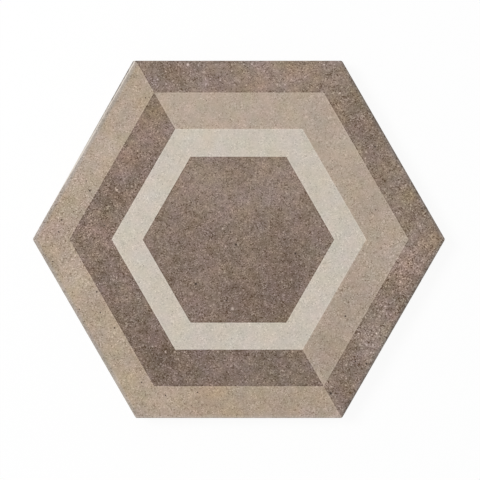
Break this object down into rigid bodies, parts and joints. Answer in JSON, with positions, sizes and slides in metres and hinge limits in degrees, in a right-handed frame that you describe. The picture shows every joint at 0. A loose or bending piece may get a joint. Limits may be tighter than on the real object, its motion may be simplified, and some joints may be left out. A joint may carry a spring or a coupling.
{
  "type": "hexagonal decorative tile",
  "caption": "Hexagonal matte stoneware tile with a printed pattern of nested, counterchanged hexagon bands, straight joint edges, a bevelled foot and a keyed back.",
  "frame": {"origin": "centre of the back, on the plane of the rib feet that the tile lies on", "axes": "+Z out of the decorated face, +X from corner to corner of the hexagon, +Y square to a straight side"},
  "size_m": [0.2098, 0.182, 0.01],
  "materials": {
    "stoneware": "matte"
  },
  "bodies": {
    "root": {"tile": "stoneware"}
  },
  "joints": []
}
